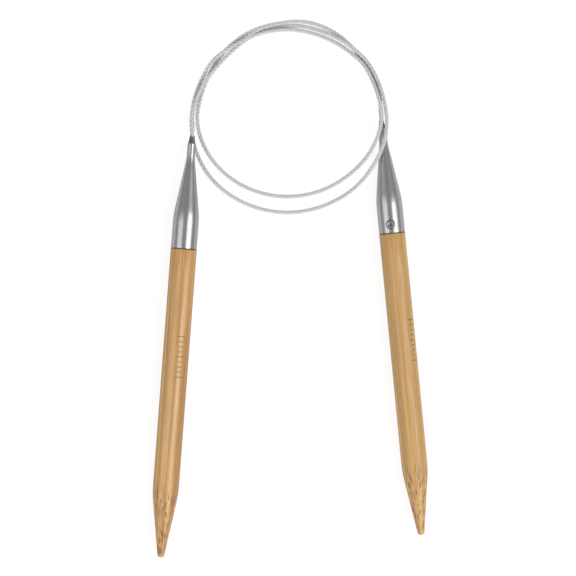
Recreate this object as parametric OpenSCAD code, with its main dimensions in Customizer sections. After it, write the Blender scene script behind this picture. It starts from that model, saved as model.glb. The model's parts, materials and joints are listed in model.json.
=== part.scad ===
// Circular knitting needle: two bamboo points with steel ferrules on one coated steel cable.
// Millimetres, +Z up. The needle lies flat. The origin is on that surface, midway between the points.

/* [Points] */
// Diameter of the bamboo shafts, which is the size of the needle
needle_d = 9; // [9:0.1:9.6]
// Length of the left rigid point, from its nose to its tip
left_point_len = 145.8; // [144:0.2:148]
// Length of the right rigid point
right_point_len = 143.6; // [142:0.2:146]
// Length of the tapered end of the bamboo
taper_len = 25.6; // [22:0.2:32]
// Diameter of the blunt end of the taper
tip_d = 2.4; // [2:0.1:3]

/* [Ferrules] */
// Distance from the nose to the open end of the ferrule
ferrule_len = 39; // [38:0.1:42]
// Diameter of the straight part of the ferrule
ferrule_d = 8.9; // [8.8:0.1:9]
// Diameter of the slender neck
neck_d = 2.85; // [2.8:0.05:3]
// Length of the collar at the nose, where the cable comes out
collar_len = 2.6; // [2:0.1:3]
// Diameter of the collar's front
nose_d = 1.9; // [1.8:0.05:2.2]
// Depth of the socket that holds the bamboo
socket_depth = 10.3; // [9:0.1:10.5]
// Diameter of the socket
socket_d = 8; // [7.9:0.05:8.1]

/* [Fixing pins] */
// Diameter of the pin's head
pin_head_d = 3; // [2.6:0.1:3.4]
// Diameter of the pin's shank
pin_d = 1.6; // [1.4:0.1:1.8]
// Distance from the pin's centre to the end of the ferrule
pin_from_end = 3; // [2.4:0.1:4]

/* [Cable] */
// Diameter over the clear coat
cable_d = 1.5; // [1.4:0.05:1.5]
// Diameter of the steel rope inside the coat
rope_d = 1.22; // [1.1:0.02:1.24]

/* [Layout] */
// Width across both points as they lie
layout_w = 94.5; // [94:0.5:96]
// How far one nose lies past the other
nose_lead = 5.3; // [5:0.1:6]
// Lean of the left point
left_lean = 4.3; // [3.5:0.1:5]
// Lean of the right point
right_lean = 5.5; // [5:0.1:6.5]

/* [Hidden] */
$fn = 64;
fit = 0.05; // radial clearance of a running or glued fit
past = 1; // how far a cutting tool runs past what it cuts
needle_r = needle_d / 2;
ferrule_r = ferrule_d / 2;
neck_r = neck_d / 2;
nose_r = nose_d / 2;
cable_r = cable_d / 2;
rope_r = rope_d / 2;
pin_head_r = pin_head_d / 2;
pin_r = pin_d / 2;
socket_r = socket_d / 2;

// Distances along a point, from the nose
neck_start = collar_len + 0.05; // the ferrule turns behind the collar
neck_end = 6; // the neck starts to flare
flare_end = 30; // the flare has become the straight part
flare_in = 0.15; // share of the flare over which it steepens
flare_out = 0.2; // and over which it levels out again
chamber_start = 12.5; // front wall of the chamber that holds the terminal's head
chamber_end = 16.5;
socket_start = ferrule_len - socket_depth;
lip_len = 0.5; // the ferrule's open end is rolled in over this length
lip_drop = 0.1;
pin_at = ferrule_len - pin_from_end;

// Bores and terminal
neck_bore_r = 1;
chamber_r = 1.5;
collar_round = 0.3; // length of the collar's rounded front
collar_r = neck_r - 0.06;
terminal_r = neck_bore_r - 0.03;
head_start = 12.7;
head_len = 1.5;
head_r = chamber_r - fit;
root_end = head_start + head_len - 0.3; // the cable stops just short of the head's back
bend_at = -1; // the cable bends here, just outside the nose
bend_gap = 0.05; // between the round end of the root and the flat end of the loop
lead_len = 1.5; // straight stretch at each end of the loop
coat_bore_r = rope_r + 0.03;

// Bamboo
spigot_r = socket_r - fit;
spigot_start = socket_start + 0.6; // the spigot stops short of the socket's floor
spigot_chamfer = 0.5;
edge_chamfer = 0.15; // where the shaft meets the ferrule
taper_lead = [[1.8, 0.05], [3.6, 0.16], [5.2, 0.3]]; // past the shoulder, and the radius lost there
tip_r = tip_d / 2;
dome_len = 0.9;

// Pin
pin_seat = ferrule_r - 0.3; // height of the flat that the head sits on
pin_head_t = 0.27;
pin_depth = 3.2; // from the seat to the shank's end
pin_hole_end = pin_depth + 0.2; // from the seat to the floor of the hole in the bamboo
dish_floor_r = 0.2;
dish_r = 1.05;
dish_depth = 0.7;

// Layout of the two points
left_roll = 180; // the left pin faces the surface that the needle lies on
right_roll = 5; // the right pin faces up
function reach(len, lean) = (len - taper_len) * sin(lean) + needle_r * cos(lean);
left_nose = [
    reach(left_point_len, left_lean) - layout_w / 2,
    (left_point_len * cos(left_lean) - nose_lead) / 2,
    needle_r
];
right_nose = [layout_w / 2 - reach(right_point_len, right_lean), left_nose[1] + nose_lead, needle_r];
left_dir = [-sin(left_lean), -cos(left_lean), 0];
right_dir = [sin(right_lean), -cos(right_lean), 0];

// The cable's loop winds two and a half turns round this centre, every 12 degrees from the left.
// Each pair is a radius and a height.
loop_centre = [0.1, right_nose[1] + 1.2]; // just past the right nose
turn_step = 12;
loop_stations = [
    // over the top from the left nose
    [33.8, 3.9], [32.9, 3.1], [31.7, 2.6], [30.8, 2.2], [30.6, 1.1], [31.0, 0.8], [31.4, 0.8], [31.6, 0.8],
    [31.9, 0.8], [31.8, 0.8], [31.9, 2.1], [32.3, 2.55], [32.78, 2.6], [32.75, 3.9], [32.75, 5.1], [33.15, 6.5],
    // over the right neck, and the wide arc back to the left
    [33.4, 7.6], [33.2, 7.6], [33.0, 6.3], [32.9, 4.2], [32.7, 2.3], [32.6, 1.2], [32.7, 0.8],
    [32.9, 0.8], [33.2, 0.8], [33.6, 0.8], [34.1, 0.8], [34.5, 0.8], [34.6, 0.8], [34.6, 0.8],
    // under the left nose, and over the top again
    [34.2, 0.8], [33.8, 0.8], [33.4, 0.9], [33.2, 2.2], [32.0, 2.5], [31.2, 2.5], [30.8, 2.35], [30.5, 2.25],
    [30.3, 0.9], [30.12, 0.8], [30.25, 0.8], [30.6, 1.3], [31.2, 2.6], [31.05, 4.0], [31.1, 5.7], [31.5, 6.9],
    // over the right nose, and the small arc back to the left
    [30.8, 7.1], [29.9, 5.8], [28.9, 4.2], [28.1, 2.7], [27.6, 1.5], [27.3, 0.9], [27.2, 0.8],
    [27.4, 0.8], [27.8, 0.8], [28.4, 0.8], [29.2, 0.8], [30.1, 0.8], [31.0, 0.8], [31.8, 0.8],
    // over the top, and under both other turns to the right nose
    [32.2, 0.8], [31.8, 0.8], [31.7, 0.8], [32.0, 0.8], [32.4, 0.8], [32.7, 0.8], [32.75, 1.8], [32.8, 1.95],
    [33.5, 1.1], [33.5, 0.8], [33.1, 0.8], [32.4, 0.8], [31.98, 1.1], [31.85, 2.5], [31.5, 4.1],
];

function station(i) = let (t = i * turn_step)
    [
        loop_centre[0] - loop_stations[i][0] * cos(t),
        loop_centre[1] + loop_stations[i][0] * sin(t),
        loop_stations[i][1]
    ];
function ahead(nose, dir, far) = nose + dir * far;
loop_start = bend_at - cable_r - bend_gap;
loop_path = concat(
    [ahead(left_nose, left_dir, loop_start), ahead(left_nose, left_dir, loop_start - lead_len)],
    [for (i = [0:len(loop_stations) - 1]) station(i)],
    [ahead(right_nose, right_dir, loop_start - lead_len), ahead(right_nose, right_dir, loop_start)]
);

// Outline of the flare, a cone that eases in and out: the share of its rise at a share of its length
flare_slope = 1 / (1 - (flare_in + flare_out) / 2);
function flare(u) = u < flare_in ? flare_slope * u * u / (2 * flare_in)
    : u > 1 - flare_out ? 1 - flare_slope * (1 - u) * (1 - u) / (2 * flare_out)
    : flare_slope * (u - flare_in / 2);
function flare_r(u) = neck_r + (ferrule_r - neck_r) * flare(u);
flare_steps = 13;
dome_steps = 4;

// Puts a point's own axis, nose at zero and running up +Z, where that point lies
module lay(nose, turn) translate(nose) rotate([0, 0, turn]) rotate([90, 0, 0]) children();
module lay_left() lay(left_nose, -left_lean) rotate([0, 0, left_roll]) children();
module lay_right() lay(right_nose, right_lean) rotate([0, 0, right_roll]) children();

// One eight-sided tube along a path, hollow if it has an inner radius
sides = 8;
function unit(v) = v / norm(v);
function heading(path, i) = unit(path[min(i + 1, len(path) - 1)] - path[max(i - 1, 0)]);
function ring(path, i, r) =
    let (along = heading(path, i), across = unit(cross([0, 0, 1], along)), over = cross(along, across))
    [
        for (k = [0:sides - 1]) let (a = (k + 0.5) * 360 / sides)
        path[i] + r * (cos(a) * across + sin(a) * over)
    ];
function skin(first, n, out) = [
    for (i = [0:n - 2], k = [0:sides - 1])
    let (a = first + i * sides + k, b = first + i * sides + (k + 1) % sides)
    out ? [a, a + sides, b + sides, b] : [a, b, b + sides, a + sides]
];

module solid_tube(path, r) {
    n = len(path);
    points = [for (i = [0:n - 1]) each ring(path, i, r)];
    start_cap = [[for (k = [0:sides - 1]) k]];
    end_cap = [[for (k = [sides - 1:-1:0]) (n - 1) * sides + k]];
    polyhedron(points, concat(skin(0, n, true), start_cap, end_cap), convexity = 10);
}

module hollow_tube(path, r, bore_r) {
    n = len(path);
    inner = n * sides;
    last = (n - 1) * sides;
    points = [for (rad = [r, bore_r], i = [0:n - 1]) each ring(path, i, rad)];
    ends = [
        for (k = [0:sides - 1]) let (j = (k + 1) % sides)
        each [[k, j, inner + j, inner + k], [last + j, last + k, inner + last + k, inner + last + j]]
    ];
    polyhedron(points, concat(skin(0, n, true), skin(inner, n, false), ends), convexity = 10);
}

module cable_core() {
    color("silver") solid_tube(loop_path, rope_r);
}

module cable_jacket() {
    color([0.9, 0.92, 0.94, 0.5]) hollow_tube(loop_path, cable_r, coat_bore_r);
}

// The end of the cable that is held in the terminal, rounded where it meets the loop
module cable_root() {
    color("gainsboro") {
        translate([0, 0, bend_at]) cylinder(r = cable_r, h = root_end - bend_at);
        translate([0, 0, bend_at]) sphere(r = cable_r);
    }
}

// Terminal swaged on the cable's end: a collar that shows at the nose, a sleeve through the neck's bore
// and a head that is captive behind it
module terminal() {
    outline = [
        [0, 0], [nose_r - collar_round / 2, 0], [nose_r, collar_round], [collar_r, collar_len],
        [terminal_r, collar_len], [terminal_r, head_start], [head_r, head_start],
        [head_r, head_start + head_len], [0, head_start + head_len]
    ];
    color("dimgray") difference() {
        rotate_extrude() polygon(outline);
        translate([0, 0, -past]) cylinder(r = cable_r, h = root_end + past);
    }
}

// Turns up +Z across a point where its pin goes, starting at a height above its axis
module along_pin(height) translate([0, height, pin_at]) rotate([-90, 0, 0]) children();

// Hollow steel shell from the neck to the socket
module ferrule() {
    outline = concat(
        [[neck_bore_r, neck_start], [neck_r, neck_start]],
        [for (i = [0:flare_steps]) let (u = i / flare_steps)
            [flare_r(u), neck_end + u * (flare_end - neck_end)]],
        [[ferrule_r, ferrule_len - lip_len], [ferrule_r - lip_drop, ferrule_len], [socket_r, ferrule_len]],
        [[socket_r, socket_start], [chamber_r, chamber_end], [chamber_r, chamber_start]],
        [[neck_bore_r, chamber_start]]
    );
    color("silver") difference() {
        rotate_extrude() polygon(outline);
        along_pin(pin_seat) cylinder(r = pin_head_r + fit, h = past);
        along_pin(0) cylinder(r = pin_r + fit, h = needle_r);
    }
}

// Bamboo shaft with a spigot for the socket at one end and the taper at the other
module shaft(point_len) {
    shoulder = point_len - taper_len;
    outline = concat(
        [[0, spigot_start], [spigot_r - spigot_chamfer, spigot_start]],
        [[spigot_r, spigot_start + spigot_chamfer], [spigot_r, ferrule_len]],
        [[needle_r - edge_chamfer, ferrule_len], [needle_r, ferrule_len + edge_chamfer], [needle_r, shoulder]],
        [for (bit = taper_lead) [needle_r - bit[1], shoulder + bit[0]]],
        [for (i = [0:dome_steps]) let (a = i * 90 / dome_steps)
            [tip_r * cos(a), point_len - dome_len * (1 - sin(a))]]
    );
    color("burlywood") difference() {
        rotate_extrude() polygon(outline);
        along_pin(pin_seat - pin_hole_end) cylinder(r = pin_r + fit, h = pin_hole_end);
    }
}

// Dished pin that goes through the ferrule's wall into the bamboo
module fixing_pin() {
    color("gray") difference() {
        union() {
            along_pin(pin_seat) cylinder(r = pin_head_r, h = pin_head_t);
            along_pin(pin_seat - pin_depth) cylinder(r = pin_r, h = pin_depth + pin_head_t / 2);
        }
        along_pin(pin_seat + pin_head_t - dish_depth)
            cylinder(r1 = dish_floor_r, r2 = dish_r, h = dish_depth + 0.01); // just past the head's face
    }
}

module left_cable_root() lay_left() cable_root();
module left_terminal() lay_left() terminal();
module left_ferrule() lay_left() ferrule();
module left_shaft() lay_left() shaft(left_point_len);
module left_fixing_pin() lay_left() fixing_pin();
module right_cable_root() lay_right() cable_root();
module right_terminal() lay_right() terminal();
module right_ferrule() lay_right() ferrule();
module right_shaft() lay_right() shaft(right_point_len);
module right_fixing_pin() lay_right() fixing_pin();

cable_core();
cable_jacket();
left_cable_root();
left_terminal();
left_ferrule();
left_shaft();
left_fixing_pin();
right_cable_root();
right_terminal();
right_ferrule();
right_shaft();
right_fixing_pin();
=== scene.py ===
import json
import math

import bmesh
import bpy
from mathutils import Matrix, Vector


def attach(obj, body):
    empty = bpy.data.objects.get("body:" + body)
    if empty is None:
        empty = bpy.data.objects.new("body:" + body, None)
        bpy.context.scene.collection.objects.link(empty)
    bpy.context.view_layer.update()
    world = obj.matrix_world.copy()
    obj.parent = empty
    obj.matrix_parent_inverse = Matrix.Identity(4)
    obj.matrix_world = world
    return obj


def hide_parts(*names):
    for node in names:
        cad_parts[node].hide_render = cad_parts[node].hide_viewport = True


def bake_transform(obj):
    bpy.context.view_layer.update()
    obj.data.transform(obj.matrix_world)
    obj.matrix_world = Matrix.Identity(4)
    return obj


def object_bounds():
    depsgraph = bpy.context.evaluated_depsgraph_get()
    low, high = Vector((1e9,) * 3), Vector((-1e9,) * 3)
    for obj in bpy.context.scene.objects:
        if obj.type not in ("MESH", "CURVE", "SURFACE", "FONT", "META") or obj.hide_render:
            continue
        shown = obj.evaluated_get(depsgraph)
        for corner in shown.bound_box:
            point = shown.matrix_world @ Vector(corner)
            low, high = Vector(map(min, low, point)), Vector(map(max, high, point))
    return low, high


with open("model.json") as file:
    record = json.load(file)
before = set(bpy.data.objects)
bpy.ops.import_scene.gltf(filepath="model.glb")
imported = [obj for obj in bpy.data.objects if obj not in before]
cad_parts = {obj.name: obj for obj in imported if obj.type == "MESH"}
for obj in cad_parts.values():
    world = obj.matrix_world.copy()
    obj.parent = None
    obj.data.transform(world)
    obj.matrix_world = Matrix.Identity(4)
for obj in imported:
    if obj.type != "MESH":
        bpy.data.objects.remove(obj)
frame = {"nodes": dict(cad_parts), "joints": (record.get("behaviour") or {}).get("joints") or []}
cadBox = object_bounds()
mm = 0.001
up = Vector((0, 0, 1))
sidesOfNeedle = ("left", "right")
print("Frame loaded with", len(frame["nodes"]), "CAD nodes")


# Each point has its own axis: its nose at zero, +Z running to the tip, +Y up
def pointPlace(side):
    swivel = next(j for j in frame["joints"] if j["name"] == side + "_swivel")
    along = Vector(swivel["axis"])
    turn = Matrix((up.cross(along), up, along)).transposed()
    return Matrix.Translation(swivel["pos_m"]) @ turn.to_4x4()


places = {side: pointPlace(side) for side in sidesOfNeedle}


def onAxis(side, distance):
    return places[side] @ Vector((0, 0, distance))


# The camera looks straight down on the whole needle
camera = {
    "lens": 200.0,
    "sensor": 36.0,
    "seenWidth": 198.7 * mm,
    "shiftFromMiddle": Vector((-0.774 * mm, 0.03 * mm)),
    "focusHeight": 4.5 * mm,
}


def addCamera():
    data = bpy.data.cameras.new("straightDown")
    data.lens = camera["lens"]
    data.sensor_width = camera["sensor"]
    data.clip_start, data.clip_end = 0.01, 50
    eye = bpy.data.objects.new("straightDown", data)
    bpy.context.scene.collection.objects.link(eye)
    middle = (cadBox[0] + cadBox[1]) / 2
    distance = camera["seenWidth"] * camera["lens"] / camera["sensor"]
    eye.location = (
        middle.x + camera["shiftFromMiddle"].x,
        middle.y + camera["shiftFromMiddle"].y,
        camera["focusHeight"] + distance,
    )
    bpy.context.scene.camera = eye
    print("Camera above", [round(v / mm, 2) for v in eye.location])


addCamera()


# A mesh made by code becomes a smooth-shaded object with one material
def finishMesh(name, bm, material, sharpAngle=35, place=None):
    bmesh.ops.recalc_face_normals(bm, faces=bm.faces)
    mesh = bpy.data.meshes.new(name)
    bm.to_mesh(mesh)
    bm.free()
    mesh.shade_smooth()
    mesh.set_sharp_from_angle(angle=math.radians(sharpAngle))
    mesh.materials.append(material)
    piece = bpy.data.objects.new(name, mesh)
    bpy.context.scene.collection.objects.link(piece)
    if place is not None:
        piece.matrix_world = place
    return piece


def inMillimetres(outline):
    return [(radius * mm, along * mm) for radius, along in outline]


# Rings of points joined into a skin, with a face over each end if it is capped
def skinOver(bm, rings, capped=True):
    made = [[bm.verts.new(p) for p in ring] for ring in rings]
    count = len(made[0])
    for first, second in zip(made, made[1:]):
        for k in range(count):
            j = (k + 1) % count
            bm.faces.new((first[k], first[j], second[j], second[k]))
    if capped:
        bm.faces.new(made[0])
        bm.faces.new(made[-1])
    return made


# An outline of (radius, distance) turned round +Z. A closed outline runs back to its own start.
def turnOutline(outline, steps, closed=False):
    bm = bmesh.new()
    rings = []
    for radius, along in outline:
        count = 1 if radius < 1e-6 else steps
        rings.append([
            bm.verts.new((
                radius * math.sin(2 * math.pi * k / steps),
                radius * math.cos(2 * math.pi * k / steps),
                along,
            ))
            for k in range(count)
        ])
    pairs = list(zip(rings, rings[1:]))
    if closed:
        pairs.append((rings[-1], rings[0]))
    for first, second in pairs:
        for k in range(steps):
            j = (k + 1) % steps
            corners = (
                first[k % len(first)], first[j % len(first)],
                second[j % len(second)], second[k % len(second)],
            )
            corners = list(dict.fromkeys(corners))
            if len(corners) > 2:
                bm.faces.new(corners)
    return bm


# From here to addBump: short ways to place and join shader nodes
def feed(tree, socket, value):
    if isinstance(value, bpy.types.NodeSocket):
        tree.links.new(value, socket)
    else:
        socket.default_value = value


def calc(tree, what, *terms):
    node = tree.nodes.new("ShaderNodeMath")
    node.operation = what
    for socket, term in zip(node.inputs, terms):
        feed(tree, socket, term)
    return node.outputs[0]


def axesOf(tree, point):
    node = tree.nodes.new("ShaderNodeSeparateXYZ")
    feed(tree, node.inputs[0], point)
    return node.outputs


# How far a point is from an axis, from its two places across that axis
def fromAxis(tree, a, b):
    squares = calc(tree, "ADD", calc(tree, "POWER", a, 2.0), calc(tree, "POWER", b, 2.0))
    return calc(tree, "SQRT", squares)


def stretch(tree, point, perMetre, turn=(0, 0, 0)):
    node = tree.nodes.new("ShaderNodeMapping")
    feed(tree, node.inputs["Vector"], point)
    node.inputs["Rotation"].default_value = turn
    node.inputs["Scale"].default_value = perMetre
    return node.outputs["Vector"]


# Noise with so many blotches per metre along each axis of the piece
def noise(tree, point, perMetre, turn=(0, 0, 0), detail=2.0, roughness=0.5):
    node = tree.nodes.new("ShaderNodeTexNoise")
    feed(tree, node.inputs["Vector"], stretch(tree, point, perMetre, turn))
    node.inputs["Scale"].default_value = 1.0
    node.inputs["Detail"].default_value = detail
    node.inputs["Roughness"].default_value = roughness
    return node.outputs["Fac"]


# A value carried from one range into another, held at the ends
def remap(tree, value, low, high, toLow=0.0, toHigh=1.0, smooth=False):
    node = tree.nodes.new("ShaderNodeMapRange")
    node.interpolation_type = "SMOOTHSTEP" if smooth else "LINEAR"
    labels = ("Value", "From Min", "From Max", "To Min", "To Max")
    for label, part in zip(labels, (value, low, high, toLow, toHigh)):
        feed(tree, node.inputs[label], part)
    return node.outputs["Result"]


def mixColor(tree, share, first, second, how="MIX"):
    node = tree.nodes.new("ShaderNodeMix")
    node.data_type = "RGBA"
    node.blend_type = how
    feed(tree, node.inputs["Factor"], share)
    feed(tree, node.inputs["A"], first)
    feed(tree, node.inputs["B"], second)
    return node.outputs["Result"]


def ramp(tree, value, stops):
    node = tree.nodes.new("ShaderNodeValToRGB")
    bands = node.color_ramp.elements
    while len(bands) < len(stops):
        bands.new(0.5)
    for band, (where, color) in zip(bands, stops):
        band.position = where
        band.color = (*color, 1)
    feed(tree, node.inputs["Fac"], value)
    return node.outputs["Color"]


def newGroup(name, inputs, outputs):
    group = bpy.data.node_groups.new(name, "ShaderNodeTree")
    for label, kind, value in inputs:
        socket = group.interface.new_socket(name=label, in_out="INPUT", socket_type="NodeSocket" + kind)
        if value is not None:
            socket.default_value = value
    for label, kind in outputs:
        group.interface.new_socket(name=label, in_out="OUTPUT", socket_type="NodeSocket" + kind)
    return group, group.nodes.new("NodeGroupInput").outputs, group.nodes.new("NodeGroupOutput").inputs


def useGroup(tree, group, **values):
    node = tree.nodes.new("ShaderNodeGroup")
    node.node_tree = group
    for label, value in values.items():
        feed(tree, node.inputs[label], value)
    return node.outputs


def newMaterial(name, **constants):
    material = bpy.data.materials.new(name)
    material.use_nodes = True
    tree = material.node_tree
    shader = tree.nodes["Principled BSDF"]
    for label, value in constants.items():
        shader.inputs[label.replace("_", " ")].default_value = value
    point = tree.nodes.new("ShaderNodeTexCoord").outputs["Object"]
    return material, tree, shader, point


def addBump(tree, shader, height, strength, distance):
    node = tree.nodes.new("ShaderNodeBump")
    node.inputs["Strength"].default_value = strength
    node.inputs["Distance"].default_value = distance
    feed(tree, node.inputs["Height"], height)
    tree.links.new(node.outputs["Normal"], shader.inputs["Normal"])


# Bamboo's colours: its broad bands from dark to pale, and what is laid over them
bambooTones = {
    "bands": [
        (0.0, (0.50, 0.24, 0.064)), (0.4, (0.68, 0.35, 0.1)),
        (0.65, (0.81, 0.455, 0.138)), (1.0, (0.93, 0.58, 0.23)),
    ],
    "paleStrip": (0.98, 0.66, 0.31, 1),
    "darkStrip": (0.38, 0.165, 0.045, 1),
    "warmPatch": (0.86, 0.47, 0.22, 1),
    "paleStick": (0.96, 0.62, 0.23, 1),
    "fibre": (0.38, 0.165, 0.05, 1),
    "dash": (0.25, 0.088, 0.022, 1),
}


# Broad lengthwise bands, crisp strips, fine fibres, and bundles that the taper cuts into dashes
def makeBambooGrain():
    group, given, out = newGroup(
        "bambooGrain",
        [("Point", "Vector", None), ("Seed", "Vector", (0, 0, 0)), ("Pale", "Float", 0.0),
         ("Bundle show", "Float", 0.2)],
        [("Color", "Color"), ("Height", "Float")],
    )
    shifted = group.nodes.new("ShaderNodeVectorMath")
    shifted.operation = "ADD"
    feed(group, shifted.inputs[0], given["Point"])
    feed(group, shifted.inputs[1], given["Seed"])
    point = shifted.outputs["Vector"]
    bands = noise(group, point, (430, 430, 7), turn=(0.012, 0.02, 0), detail=1.0)
    strips = noise(group, point, (1250, 1250, 9), turn=(0.006, 0.01, 0), detail=1.0)
    fibres = noise(group, point, (4200, 4200, 60), detail=3.0, roughness=0.65)
    patches = noise(group, point, (150, 150, 22), detail=1.0)
    cells = group.nodes.new("ShaderNodeTexVoronoi")
    cells.inputs["Scale"].default_value = 1.0
    cells.inputs["Randomness"].default_value = 1.0
    feed(group, cells.inputs["Vector"], stretch(group, point, (1900, 1900, 34), turn=(0.02, 0.03, 0)))
    dots = remap(group, cells.outputs["Distance"], 0.24, 0.44, 1.0, 0.0, smooth=True)
    clumps = remap(group, noise(group, point, (380, 380, 150), detail=1.0), 0.33, 0.48)
    shown = calc(group, "MULTIPLY", calc(group, "MULTIPLY", dots, clumps), given["Bundle show"])
    layers = [
        ("paleStrip", remap(group, strips, 0.52, 0.62, 0.0, 0.45, smooth=True)),
        ("darkStrip", remap(group, strips, 0.38, 0.47, 0.55, 0.0, smooth=True)),
        ("warmPatch", remap(group, patches, 0.35, 0.7, 0.0, 0.35)),
        ("paleStick", given["Pale"]),
        ("fibre", remap(group, fibres, 0.38, 0.62, 0.42, 0.0)),
        ("dash", shown),
    ]
    color = ramp(group, remap(group, bands, 0.34, 0.66), bambooTones["bands"])
    for tone, share in layers:
        color = mixColor(group, share, color, bambooTones[tone])
    feed(group, out["Color"], color)
    feed(group, out["Height"], calc(group, "SUBTRACT", fibres, shown))
    return group


# Nine short ticks burnt across the shaft, where such needles carry their size
def makeBurntTicks():
    group, given, out = newGroup(
        "burntTicks",
        [("Point", "Vector", None), ("Start", "Float", 69.2 * mm), ("Pitch", "Float", 1.75 * mm),
         ("Thickness", "Float", 0.4 * mm), ("Count", "Float", 9.0), ("Turn", "Float", 0.0),
         ("Half width", "Float", 0.28)],
        [("Mask", "Float")],
    )
    x, y, along = axesOf(group, given["Point"])
    steps = calc(group, "DIVIDE", calc(group, "SUBTRACT", along, given["Start"]), given["Pitch"])
    nearest = calc(group, "ROUND", steps)
    off = calc(group, "ABSOLUTE", calc(group, "SUBTRACT", steps, nearest))
    off = calc(group, "MULTIPLY", off, given["Pitch"])
    line = remap(group, calc(group, "DIVIDE", off, given["Thickness"]), 0.3, 0.62, 1.0, 0.0, smooth=True)
    inside = calc(group, "MULTIPLY", calc(group, "GREATER_THAN", steps, -0.5),
                  calc(group, "LESS_THAN", steps, calc(group, "SUBTRACT", given["Count"], 0.5)))
    # every fourth tick is the longer one, as on a rule
    long = calc(group, "LESS_THAN", calc(group, "PINGPONG", nearest, 2.0), 0.5)
    long = calc(group, "MULTIPLY", long, calc(group, "LESS_THAN", calc(group, "MODULO", nearest, 4.0), 0.5))
    half = calc(group, "MULTIPLY", given["Half width"], calc(group, "MULTIPLY_ADD", long, 0.4, 0.6))
    angle = calc(group, "ABSOLUTE", calc(group, "SUBTRACT", calc(group, "ARCTAN2", x, y), given["Turn"]))
    across = remap(group, calc(group, "SUBTRACT", angle, half), -0.03, 0.03, 1.0, 0.0, smooth=True)
    feed(group, out["Mask"], calc(group, "MULTIPLY", calc(group, "MULTIPLY", line, inside), across))
    return group


# Metal finished on a lathe or drawn: fine rings round +Z, fine scratches along it and slow smudges
def makeWorkedMetal():
    group, given, out = newGroup(
        "workedMetal",
        [("Point", "Vector", None), ("Tone", "Color", (0.6, 0.6, 0.6, 1)), ("Ring share", "Float", 0.5),
         ("Roughness", "Float", 0.25), ("Variation", "Float", 0.1)],
        [("Color", "Color"), ("Roughness", "Float"), ("Height", "Float")],
    )
    rings = noise(group, given["Point"], (60, 60, 9000))
    lines = noise(group, given["Point"], (7000, 7000, 60))
    smudge = noise(group, given["Point"], (260, 260, 120), detail=3.0)
    fine = calc(group, "ADD", calc(group, "MULTIPLY", rings, given["Ring share"]),
                calc(group, "MULTIPLY", lines, calc(group, "SUBTRACT", 1.0, given["Ring share"])))
    darker = mixColor(group, 1.0, given["Tone"], (0.8, 0.8, 0.815, 1), how="MULTIPLY")
    feed(group, out["Color"], mixColor(group, remap(group, fine, 0.3, 0.7), darker, given["Tone"]))
    swing = calc(group, "MULTIPLY", calc(group, "SUBTRACT", smudge, 0.5), given["Variation"])
    feed(group, out["Roughness"], calc(group, "ADD", given["Roughness"], swing))
    feed(group, out["Height"], fine)
    return group


# A dark line of painted shade, strongest at one value of a distance and gone at a reach from it
def makePaintedShadeLine():
    group, given, out = newGroup(
        "paintedShadeLine",
        [("Distance", "Float", 0.0), ("Centre", "Float", 0.0), ("Reach", "Float", 0.4 * mm),
         ("Amount", "Float", 0.8)],
        [("Mask", "Float")],
    )
    off = calc(group, "ABSOLUTE", calc(group, "SUBTRACT", given["Distance"], given["Centre"]))
    near = remap(group, calc(group, "DIVIDE", off, given["Reach"]), 0.25, 1.0, 1.0, 0.0, smooth=True)
    feed(group, out["Mask"], calc(group, "MULTIPLY", near, given["Amount"]))
    return group


# The colour, roughness and fine relief of worked metal, put on a shader
def giveFinish(tree, shader, finish, color, strength, depth):
    feed(tree, shader.inputs["Base Color"], color)
    feed(tree, shader.inputs["Roughness"], finish["Roughness"])
    addBump(tree, shader, finish["Height"], strength, depth)


bambooGrain = makeBambooGrain()
burntTicks = makeBurntTicks()
workedMetal = makeWorkedMetal()
paintedShadeLine = makePaintedShadeLine()
print("Shader groups made")


# The cable: a wound steel rope in a clear coat, laid along the same route as the CAD one
cable = {
    "coatRadius": 0.75 * mm,
    "coatBore": 0.68 * mm,
    "coatSides": 16,
    "strandCount": 3,
    "strandRadius": 0.31 * mm,
    "strandOffset": 0.36 * mm,
    "wiresPerStrand": 6,
    "wireDepth": 0.08,
    "lay": 4.68 * mm,
    "ringStep": 0.5 * mm,
    "curveSteps": 24,
    # the lead outside each nose follows its point, and bends over its first stretch
    "leadLength": 12 * mm,
    "bendLength": 10 * mm,
    # what each terminal holds, and where the cable is still straight as it leaves
    "heldLength": 13.8 * mm,
    "straightOut": (0, -1.8 * mm, -3.3 * mm),
    # the middle of the loop: x, and y past the right nose
    "loopMiddle": (0.1 * mm, 1.2 * mm),
    "turnStep": 12,
    "freeLength": 510.7 * mm,
    "steelTone": (0.98, 0.985, 0.99, 1),
    # the colour of the painted shade deep in the grooves between the strands
    "grooveShadeTone": (0.5, 0.5, 0.51, 1),
    # how far from the cable's middle the painted shade in the grooves between the strands is darkest and
    # gone
    "grooveShade": (0.4 * mm, 0.53 * mm),
}
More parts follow.
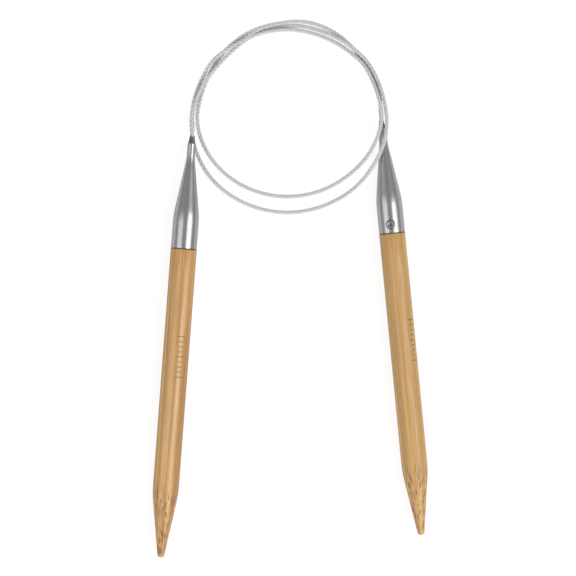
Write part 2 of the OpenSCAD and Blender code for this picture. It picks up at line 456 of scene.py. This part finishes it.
# Radius and height of the loop, in millimetres, every 12 degrees from the left round to the right
loopStations = [
    # over the top from the left nose
    (33.8, 3.9), (32.9, 3.1), (31.7, 2.6), (30.8, 2.2), (30.6, 1.1), (31.0, 0.8), (31.4, 0.8),
    (31.6, 0.8), (31.9, 0.8), (31.8, 0.8), (31.9, 2.1), (32.3, 2.55), (32.78, 2.6), (32.75, 3.9),
    (32.75, 5.1), (33.15, 6.5),
    # over the right neck, and the wide arc back to the left
    (33.4, 7.6), (33.2, 7.6), (33.0, 6.3), (32.9, 4.2), (32.7, 2.3), (32.6, 1.2), (32.7, 0.8),
    (32.9, 0.8), (33.2, 0.8), (33.6, 0.8), (34.1, 0.8), (34.5, 0.8), (34.6, 0.8), (34.6, 0.8),
    # under the left nose, and over the top again
    (34.2, 0.8), (33.8, 0.8), (33.4, 0.9), (33.2, 2.2), (32.0, 2.5), (31.2, 2.5), (30.8, 2.35),
    (30.5, 2.25), (30.3, 0.9), (30.12, 0.8), (30.25, 0.8), (30.6, 1.3), (31.2, 2.6), (31.05, 4.0),
    (31.1, 5.7), (31.5, 6.9),
    # over the right nose, and the small arc back to the left
    (30.8, 7.1), (29.9, 5.8), (28.9, 4.2), (28.1, 2.7), (27.6, 1.5), (27.3, 0.9), (27.2, 0.8),
    (27.4, 0.8), (27.8, 0.8), (28.4, 0.8), (29.2, 0.8), (30.1, 0.8), (31.0, 0.8), (31.8, 0.8),
    # over the top, and under both other turns to the right nose
    (32.2, 0.8), (31.8, 0.8), (31.7, 0.8), (32.0, 0.8), (32.4, 0.8), (32.7, 0.8), (32.75, 1.8),
    (32.8, 1.95), (33.5, 1.1), (33.5, 0.8), (33.1, 0.8), (32.4, 0.8), (31.98, 1.1), (31.85, 2.5),
    (31.5, 4.1),
]


def routePoints():
    x, pastNose = cable["loopMiddle"]
    centre = Vector((x, onAxis("right", 0).y + pastNose, 0))
    straight = (cable["heldLength"], cable["heldLength"] / 2, *cable["straightOut"])
    ends = {side: [onAxis(side, s) for s in straight] for side in sidesOfNeedle}
    loop = []
    for i, (radius, height) in enumerate(inMillimetres(loopStations)):
        angle = math.radians(i * cable["turnStep"])
        loop.append(centre + Vector((-radius * math.cos(angle), radius * math.sin(angle), height)))
    return ends["left"] + loop + ends["right"][::-1]


# Centripetal curve through the points, cut into even steps
def smoothRoute(points, step):
    padded = [points[0] * 2 - points[1], *points, points[-1] * 2 - points[-2]]
    dense, cuts = [], cable["curveSteps"]
    for a, b, c, d in zip(padded, padded[1:], padded[2:], padded[3:]):
        t1 = (b - a).length ** 0.5
        t2 = t1 + (c - b).length ** 0.5
        t3 = t2 + (d - c).length ** 0.5
        for k in range(cuts):
            t = t1 + (t2 - t1) * k / cuts
            ab = a + (b - a) * (t / t1)
            bc = b + (c - b) * ((t - t1) / (t2 - t1))
            cd = c + (d - c) * ((t - t2) / (t3 - t2))
            abc = ab + (bc - ab) * (t / t2)
            bcd = bc + (cd - bc) * ((t - t1) / (t3 - t1))
            dense.append(abc + (bcd - abc) * ((t - t1) / (t2 - t1)))
    dense.append(points[-1])
    lengths = [0.0]
    for a, b in zip(dense, dense[1:]):
        lengths.append(lengths[-1] + (b - a).length)
    count = round(lengths[-1] / step)
    even, i = [], 0
    for k in range(count + 1):
        wanted = lengths[-1] * k / count
        while i < len(dense) - 2 and lengths[i + 1] < wanted:
            i += 1
        share = (wanted - lengths[i]) / (lengths[i + 1] - lengths[i])
        even.append(dense[i].lerp(dense[i + 1], min(1, share)))
    for p in even:
        p.z = max(p.z, cable["coatRadius"])
    return even, lengths[-1]


# Each stop is a place with two directions across the cable, carried along without twisting
def carriedStops(line):
    across = Vector((1, 0, 0))
    stops = []
    for i, p in enumerate(line):
        along = (line[min(i + 1, len(line) - 1)] - line[max(i - 1, 0)]).normalized()
        across = (across - along * across.dot(along)).normalized()
        stops.append((p, across.copy(), along.cross(across)))
    return stops


def roundRing(stop, radius, sides, offset=(0, 0), lobes=0, depth=0.0):
    p, across, over = stop
    ring = []
    for k in range(sides):
        a = 2 * math.pi * k / sides
        reach = radius * (1 - depth * (0.5 - 0.5 * math.cos(lobes * a)))
        x, y = offset[0] + reach * math.cos(a), offset[1] + reach * math.sin(a)
        ring.append(p + across * x + over * y)
    return ring


def coatMesh(stops):
    bm = bmesh.new()
    sides = cable["coatSides"]
    outer = skinOver(bm, [roundRing(s, cable["coatRadius"], sides) for s in stops], capped=False)
    inner = skinOver(bm, [roundRing(s, cable["coatBore"], sides) for s in stops], capped=False)
    for end in (0, -1):
        for k in range(sides):
            j = (k + 1) % sides
            bm.faces.new((outer[end][k], outer[end][j], inner[end][j], inner[end][k]))
    return bm


# Three strands wound together, each with the ridges of its own wires. Every corner keeps its distance
# from the cable's middle, which tells the steel how deep between the strands it is and how much painted
# shade it gets there.
def strandMesh(stops, firstDistance, step):
    bm = bmesh.new()
    fromMiddle = bm.verts.layers.float.new("fromMiddle")
    sides = cable["wiresPerStrand"] * 2
    for strand in range(cable["strandCount"]):
        rings = []
        for i, stop in enumerate(stops):
            turns = (firstDistance + i * step) / cable["lay"] + strand / cable["strandCount"]
            a = 2 * math.pi * turns
            offset = [cable["strandOffset"] * v for v in (math.cos(a), math.sin(a))]
            wires = (cable["wiresPerStrand"], cable["wireDepth"])
            rings.append(roundRing(stop, cable["strandRadius"], sides, offset, *wires))
        for stop, ring in zip(stops, skinOver(bm, rings)):
            for v in ring:
                v[fromMiddle] = (v.co - stop[0]).length
    return bm


def makeClearCoat():
    material, tree, shader, point = newMaterial(
        "clearCoat", Roughness=0.18, IOR=1.5, Specular_IOR_Level=0.5, Coat_Weight=0.4, Coat_Roughness=0.08)
    milk = noise(tree, point, (420, 420, 420))
    tones = [(0.3, (0.86, 0.87, 0.88)), (0.7, (0.95, 0.955, 0.96))]
    feed(tree, shader.inputs["Base Color"], ramp(tree, milk, tones))
    feed(tree, shader.inputs["Alpha"], remap(tree, milk, 0.3, 0.7, 0.06, 0.12))
    feed(tree, shader.inputs["Roughness"], remap(tree, milk, 0.3, 0.7, 0.14, 0.24))
    return material


def makeRopeSteel():
    material, tree, shader, point = newMaterial("ropeSteel", Metallic=0.05)
    worked = {"Tone": cable["steelTone"], "Roughness": 0.34, "Variation": 0.2}
    finish = useGroup(tree, workedMetal, Point=point, **worked)
    stored = tree.nodes.new("ShaderNodeAttribute")
    stored.attribute_name = "fromMiddle"
    # painted shade, darkest deep between the strands
    grooveShade = remap(tree, stored.outputs["Fac"], *cable["grooveShade"], 0.45, 0.0, smooth=True)
    color = mixColor(tree, grooveShade, finish["Color"], cable["grooveShadeTone"])
    giveFinish(tree, shader, finish, color, 0.25, 0.03 * mm)
    return material


def buildCable():
    line, total = smoothRoute(routePoints(), cable["ringStep"])
    step = total / (len(line) - 1)
    stops = carriedStops(line)
    lead = round((cable["heldLength"] + cable["leadLength"]) / step)
    end = len(line) - 1
    stretches = {"left": (0, lead), "loop": (lead, end - lead), "right": (end - lead, end)}
    coat, steel = makeClearCoat(), makeRopeSteel()
    made = {}
    for name, (first, last) in stretches.items():
        part = stops[first:last + 1]
        label = "cable" if name == "loop" else name + "CableLead"
        made[name] = (
            finishMesh(label + "Coat", coatMesh(part[:-1:2] + part[-1:]), coat),
            finishMesh(label + "Strands", strandMesh(part, first * step, step), steel, sharpAngle=80),
        )
    for piece in made["loop"]:
        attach(piece, "cable")
    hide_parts("cable_jacket")
    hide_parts("cable_core")
    for side in sidesOfNeedle:
        for piece in made[side]:
            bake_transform(piece)
            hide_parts(side + "_cable_root")
    first, last = stretches["loop"]
    free = total - 2 * cable["heldLength"]
    print("Cable", round(total / mm, 1), "mm in all, free", round(free / mm, 1), "mm")


buildCable()


# Ferrules and their fixing pins
ferrule = {
    "length": 39.0 * mm,
    "radius": 4.45 * mm,
    "neckRadius": 1.425 * mm,
    "neckStart": 2.65 * mm,
    "neckEnd": 6 * mm,
    "flareEnd": 30 * mm,
    "flareIn": 0.15,
    "flareOut": 0.2,
    "flareSteps": 48,
    # distances of the rings between the flare and the lip, in millimetres
    "barrel": (32, 33.6, 34.7, 35.5, 36.5, 37.5),
    "lip": (0.5 * mm, 0.1 * mm),
    "bore": 1 * mm,
    "edge": 0.06 * mm,
    # the inside, from the open end back to the neck: (radius, distance)
    "inside": [(4.0, 39), (4.0, 28.7), (1.5, 16.5), (1.5, 12.5), (1.0, 12.5)],
    "steps": 128,
    "tone": (0.6, 0.6, 0.61, 1),
    # the colour of the painted shade round the pin's head and under the lip
    "paintedShadeTone": (0.03, 0.025, 0.022, 1),
}
pin = {
    "distance": 36 * mm,
    "seat": 4.15 * mm,
    "roll": {"left": 180, "right": 5},
    "pocketRadius": 1.55 * mm,
    "holeRadius": 0.85 * mm,
    "holeDepth": 3.4 * mm,
    "toolReach": 2 * mm,
    # the head from its dished middle, then the shank: (radius, height above the seat)
    "outline": [
        (0, -0.43), (0.2, -0.43), (0.32, -0.36), (0.94, 0.18), (1.02, 0.25), (1.1, 0.27), (1.32, 0.27),
        (1.43, 0.24), (1.49, 0.16), (1.5, 0.06), (1.48, 0), (0.8, 0), (0.8, -3.05), (0.65, -3.2), (0, -3.2),
    ],
    "steps": 64,
    "tone": (0.6, 0.6, 0.61, 1),
    # the colour of the painted shade round the head's edge and in its dish
    "paintedShadeTone": (0.05, 0.045, 0.042, 1),
}


# The flare is a cone that eases in and out: the share of its rise at a share of its length
def flare(u):
    into, outOf = ferrule["flareIn"], ferrule["flareOut"]
    slope = 1 / (1 - (into + outOf) / 2)
    if u < into:
        return slope * u * u / (2 * into)
    if u > 1 - outOf:
        return 1 - slope * (1 - u) ** 2 / (2 * outOf)
    return slope * (u - into / 2)


def ferruleOutline():
    f = ferrule
    outline = [
        (f["bore"], f["neckStart"] + f["edge"]), (f["bore"] + f["edge"], f["neckStart"]),
        (f["neckRadius"] - f["edge"], f["neckStart"]), (f["neckRadius"], f["neckStart"] + f["edge"]),
    ]
    for i in range(f["flareSteps"] + 1):
        u = i / f["flareSteps"]
        outline.append((f["neckRadius"] + (f["radius"] - f["neckRadius"]) * flare(u),
                        f["neckEnd"] + (f["flareEnd"] - f["neckEnd"]) * u))
    outline += [(f["radius"], s * mm) for s in f["barrel"]]
    lipLength, lipDrop = f["lip"]
    for back, drop in ((1, 0), (0.4, 0.25), (0, 1)):
        outline.append((f["radius"] - lipDrop * drop, f["length"] - lipLength * back))
    return outline + inMillimetres(f["inside"])


# The place of a ferrule, rolled on its point's axis until its pin faces the right way
def facing(side):
    return places[side] @ Matrix.Rotation(math.radians(pin["roll"][side]), 4, "Z")


def pinPlace(side):
    across = Matrix.Translation((0, pin["seat"], pin["distance"])) @ Matrix.Rotation(-math.pi / 2, 4, "X")
    return facing(side) @ across


# A turned tool on the pin's own axis cuts a pocket or a hole, and is then put away
def cutForPin(piece, side, outline):
    turned = turnOutline(outline, pin["steps"])
    tool = finishMesh("cuttingTool", turned, piece.data.materials[0], place=pinPlace(side))
    cut = piece.modifiers.new("cut", "BOOLEAN")
    cut.operation = "DIFFERENCE"
    cut.solver = "EXACT"
    cut.object = tool
    bpy.context.view_layer.update()
    seen = piece.evaluated_get(bpy.context.evaluated_depsgraph_get())
    mesh = bpy.data.meshes.new_from_object(seen)
    piece.modifiers.clear()
    old, piece.data = piece.data, mesh
    bpy.data.meshes.remove(old)
    bpy.data.objects.remove(tool)
    mesh.shade_smooth()
    mesh.set_sharp_from_angle(angle=math.radians(30))


def makeFerruleSteel():
    material, tree, shader, point = newMaterial("ferruleSteel", Metallic=1.0)
    worked = {"Tone": ferrule["tone"], "Ring share": 0.35, "Roughness": 0.27, "Variation": 0.1}
    finish = useGroup(tree, workedMetal, Point=point, **worked)
    x, y, along = axesOf(tree, point)
    # painted shade round the pin's head, on that side only, and under the lip
    fromPin = fromAxis(tree, x, calc(tree, "SUBTRACT", along, pin["distance"]))
    rim = {"Centre": pin["pocketRadius"], "Reach": 0.18 * mm, "Amount": 0.9}
    ring = useGroup(tree, paintedShadeLine, Distance=fromPin, **rim)["Mask"]
    ring = calc(tree, "MULTIPLY", ring, calc(tree, "GREATER_THAN", y, 0.0))
    end = {"Centre": ferrule["length"], "Reach": 0.35 * mm, "Amount": 0.7}
    lip = useGroup(tree, paintedShadeLine, Distance=along, **end)["Mask"]
    color = mixColor(tree, calc(tree, "MAXIMUM", ring, lip), finish["Color"], ferrule["paintedShadeTone"])
    giveFinish(tree, shader, finish, color, 0.12, 0.02 * mm)
    return material


def makePinSteel():
    material, tree, shader, point = newMaterial("pinSteel", Metallic=1.0)
    worked = {"Tone": pin["tone"], "Ring share": 0.2, "Roughness": 0.22, "Variation": 0.15}
    finish = useGroup(tree, workedMetal, Point=point, **worked)
    x, y, _ = axesOf(tree, point)
    radius = fromAxis(tree, x, y)
    # painted shade round the head's edge and down in its dish
    rim = {"Centre": 1.52 * mm, "Reach": 0.14 * mm, "Amount": 0.9}
    edge = useGroup(tree, paintedShadeLine, Distance=radius, **rim)["Mask"]
    dish = remap(tree, radius, 0.2 * mm, 0.55 * mm, 0.9, 0.0, smooth=True)
    color = mixColor(tree, calc(tree, "MAXIMUM", edge, dish), finish["Color"], pin["paintedShadeTone"])
    giveFinish(tree, shader, finish, color, 0.15, 0.02 * mm)
    return material


def buildFerrules():
    steel, pinSteel = makeFerruleSteel(), makePinSteel()
    for side in sidesOfNeedle:
        turned = turnOutline(ferruleOutline(), ferrule["steps"], closed=True)
        shell = finishMesh(side + "FerruleShell", turned, steel, place=facing(side))
        # a hole for the shank, and over it a pocket for the head
        cutForPin(shell, side, [
            (0, -pin["seat"]), (pin["holeRadius"], -pin["seat"]), (pin["holeRadius"], 0),
            (pin["pocketRadius"], 0), (pin["pocketRadius"], pin["toolReach"]), (0, pin["toolReach"]),
        ])
        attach(shell, side + "_point")
        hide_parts(side + "_ferrule")
        head = finishMesh(side + "DishedPin", turnOutline(inMillimetres(pin["outline"]), pin["steps"]),
                          pinSteel, sharpAngle=50, place=pinPlace(side))
        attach(head, side + "_point")
        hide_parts(side + "_fixing_pin")
    print("Ferrules and pins built")


buildFerrules()


# Bamboo shafts
shaft = {
    "start": 39.0 * mm,
    "length": {"left": 145.8 * mm, "right": 143.6 * mm},
    "taper": 25.6 * mm,
    "radius": 4.5 * mm,
    "tipRadius": 1.2 * mm,
    "dome": 0.9 * mm,
    # the spigot inside the ferrule, then the edge that meets it: (radius, distance)
    "spigot": [
        (0, 29.3), (3.45, 29.3), (3.95, 29.8), (3.95, 38.95), (4.33, 39), (4.44, 39.03), (4.5, 39.15),
    ],
    # distances of the rings on the straight stretch, in millimetres
    "straight": (50, 70, 90, 110),
    # the taper starts softly: (drop in radius, distance past the shoulder)
    "lead": [(0.015, 0.9), (0.05, 1.8), (0.1, 2.7), (0.16, 3.6), (0.3, 5.2)],
    "taperRings": 8,
    "domeRings": 8,
    "steps": 96,
    "tickTurn": {"left": math.radians(22), "right": math.radians(50)},
    "seed": {"left": (0.013, 0.027, 0.4), "right": (0.037, 0.019, 2.3)},
    # how far each stick's bamboo is paler than the grain alone
    "pale": {"left": 0.12, "right": 0.45},
    "cutEndTone": (0.84, 0.60, 0.34, 1),
    # the colour of the painted shade at the joint with the ferrule
    "jointShadeTone": (0.10, 0.045, 0.018, 1),
    "burntTone": (0.12, 0.045, 0.015, 1),
}


def shaftOutline(side):
    s = shaft
    shoulder = s["length"][side] - s["taper"]
    outline = inMillimetres(s["spigot"])
    outline += [(s["radius"], at * mm) for at in s["straight"]]
    outline.append((s["radius"], shoulder))
    outline += [(s["radius"] - drop * mm, shoulder + past * mm) for drop, past in s["lead"]]
    firstRadius, firstAt = outline[-1]
    domeAt = s["length"][side] - s["dome"]
    for i in range(1, s["taperRings"]):
        share = i / s["taperRings"]
        radius = firstRadius + (s["tipRadius"] - firstRadius) * share
        outline.append((radius, firstAt + (domeAt - firstAt) * share))
    for i in range(s["domeRings"] + 1):
        a = math.pi / 2 * i / s["domeRings"]
        outline.append((s["tipRadius"] * math.cos(a), domeAt + s["dome"] * math.sin(a)))
    outline[-1] = (0, s["length"][side])
    return outline


def makeBamboo(side):
    material, tree, shader, point = newMaterial(
        side + "Bamboo", Roughness=0.36, Specular_IOR_Level=0.5, Coat_Weight=0.35, Coat_Roughness=0.22)
    along = axesOf(tree, point)[2]
    length = shaft["length"][side]
    shoulder = length - shaft["taper"]
    taper = remap(tree, along, shoulder - 1 * mm, shoulder + 5 * mm, 0.1, 1.0, smooth=True)
    stick = {"Seed": shaft["seed"][side], "Pale": shaft["pale"][side], "Bundle show": taper}
    grain = useGroup(tree, bambooGrain, Point=point, **stick)
    ticks = useGroup(tree, burntTicks, **{"Point": point, "Turn": shaft["tickTurn"][side]})["Mask"]
    # the cut end is paler, and the joint is darker with painted shade in the crease under the ferrule's lip
    tip = remap(tree, along, length - 1.3 * mm, length - 0.1 * mm, 0.0, 0.55, smooth=True)
    edge = {"Centre": shaft["start"], "Reach": 0.5 * mm, "Amount": 0.8}
    joint = useGroup(tree, paintedShadeLine, Distance=along, **edge)["Mask"]
    color = mixColor(tree, tip, grain["Color"], shaft["cutEndTone"])
    color = mixColor(tree, joint, color, shaft["jointShadeTone"])
    color = mixColor(tree, calc(tree, "MULTIPLY", ticks, 0.66), color, shaft["burntTone"])
    feed(tree, shader.inputs["Base Color"], color)
    feed(tree, shader.inputs["Roughness"], remap(tree, grain["Height"], 0.2, 0.8, 0.42, 0.3))
    addBump(tree, shader, calc(tree, "SUBTRACT", grain["Height"], ticks), 0.25, 0.04 * mm)
    return material


def buildShafts():
    for side in sidesOfNeedle:
        turned = turnOutline(shaftOutline(side), shaft["steps"])
        piece = finishMesh(side + "BambooShaft", turned, makeBamboo(side), sharpAngle=40, place=places[side])
        # a blind hole for the pin's shank
        cutForPin(piece, side, [
            (0, pin["toolReach"]), (pin["holeRadius"], pin["toolReach"]),
            (pin["holeRadius"], -pin["holeDepth"]), (0, -pin["holeDepth"]),
        ])
        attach(piece, side + "_point")
        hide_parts(side + "_shaft")
    print("Bamboo shafts built")


buildShafts()


# Terminals swaged on the cable's ends: a collar crimped to flats, a sleeve and a captive head
terminal = {
    # the bore runs through: (radius, distance)
    "outline": [
        (0.76, 0.12), (0.8, 0.02), (0.86, 0), (0.93, 0.08), (0.96, 0.3), (1.1, 1.15), (1.2, 1.7),
        (1.3, 2.25), (1.35, 2.52), (1.33, 2.6), (0.97, 2.6), (0.97, 12.7), (1.4, 12.7), (1.45, 12.75),
        (1.45, 14.15), (1.4, 14.2), (0.82, 14.2), (0.76, 14.1),
    ],
    # the crimped stretch of the collar, whose bore lies inside boreSide and stays round
    "crimped": (0.25 * mm, 2.3 * mm),
    "boreSide": 0.85 * mm,
    "flats": 6,
    "flatDepth": 0.1,
    "steps": 72,
    "tone": (0.3, 0.3, 0.305, 1),
}


def terminalMesh():
    bm = turnOutline(inMillimetres(terminal["outline"]), terminal["steps"], closed=True)
    first, last = terminal["crimped"]
    sector = 2 * math.pi / terminal["flats"]
    for v in bm.verts:
        reach = math.hypot(v.co.x, v.co.y)
        if first < v.co.z < last and reach > terminal["boreSide"]:
            off = (math.atan2(v.co.x, v.co.y) % sector) - sector / 2
            flat = reach * (1 - terminal["flatDepth"]) / math.cos(off)
            v.co.xy *= min(1, flat / reach)
    return bm


def makeTerminalSteel():
    material, tree, shader, point = newMaterial("terminalSteel", Metallic=1.0)
    worked = {"Tone": terminal["tone"], "Ring share": 0.8, "Roughness": 0.34, "Variation": 0.2}
    finish = useGroup(tree, workedMetal, Point=point, **worked)
    giveFinish(tree, shader, finish, finish["Color"], 0.3, 0.03 * mm)
    return material


def buildTerminals():
    steel = makeTerminalSteel()
    for side in sidesOfNeedle:
        name = side + "SwagedTerminal"
        piece = finishMesh(name, terminalMesh(), steel, sharpAngle=18, place=places[side])
        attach(piece, side + "_terminal")
        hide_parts(side + "_terminal")
    print("Terminals built")


buildTerminals()


# Floor and light
studio = {
    "floorSize": 8.0,
    "floorSeen": (0.3, 0.3, 0.3),
    "floorGlow": 0.84,
    "floorBounce": (0.88, 0.88, 0.88),
    "skyTone": 0.33,
    # angle from straight up, brightness and width of each softbox, which hangs this far away
    "softboxes": {
        "rightSoftbox": (39, 22.0, 1.7), "leftSoftbox": (-43, 14.0, 1.7), "brightStrip": (37, 10.0, 0.6),
    },
    "softboxDistance": 2.2,
    # they stop just past the noses, so that the flares mirror the darker sky
    "softboxLength": 2.65,
    "softboxMiddle": -0.92,
}


# Seen by the camera the floor is white, and what it throws back at the needle is dimmer
def addFloor():
    bm = bmesh.new()
    half = studio["floorSize"] / 2
    corners = ((-half, -half, 0), (half, -half, 0), (half, half, 0), (-half, half, 0))
    bm.faces.new([bm.verts.new(corner) for corner in corners])
    material, tree, shader, point = newMaterial(
        "paleFloor", Roughness=0.9, Specular_IOR_Level=0.1, Emission_Strength=studio["floorGlow"])
    mottle = noise(tree, point, (8, 8, 8), detail=3.0)
    seen = tree.nodes.new("ShaderNodeLightPath").outputs["Is Camera Ray"]
    tone = studio["floorSeen"]
    pale = ramp(tree, mottle, [(0.3, [v - 0.01 for v in tone]), (0.7, tone)])
    feed(tree, shader.inputs["Base Color"], mixColor(tree, seen, (*studio["floorBounce"], 1), pale))
    feed(tree, shader.inputs["Emission Color"], mixColor(tree, seen, (0, 0, 0, 1), (1, 1, 1, 1)))
    floor = finishMesh("floor", bm, material)


def addSoftbox(name, lean, power, width):
    data = bpy.data.lights.new(name, "AREA")
    data.shape = "RECTANGLE"
    data.size, data.size_y = width, studio["softboxLength"]
    data.energy = power
    lamp = bpy.data.objects.new(name, data)
    bpy.context.scene.collection.objects.link(lamp)
    angle = math.radians(lean)
    lamp.location = Vector((math.sin(angle), 0, math.cos(angle))) * studio["softboxDistance"]
    lamp.location.y = studio["softboxMiddle"]
    lamp.rotation_euler = (0, angle, 0)
    lamp.visible_camera = False


def lightStudio():
    for name, (lean, power, width) in studio["softboxes"].items():
        addSoftbox(name, lean, power, width)
    world = bpy.data.worlds.new("studio")
    world.use_nodes = True
    world.node_tree.nodes["Background"].inputs["Color"].default_value = (1, 1, 1, 1)
    world.node_tree.nodes["Background"].inputs["Strength"].default_value = studio["skyTone"]
    bpy.context.scene.world = world
    bpy.context.scene.view_settings.view_transform = "Standard"
    print("Studio lit")


addFloor()
lightStudio()
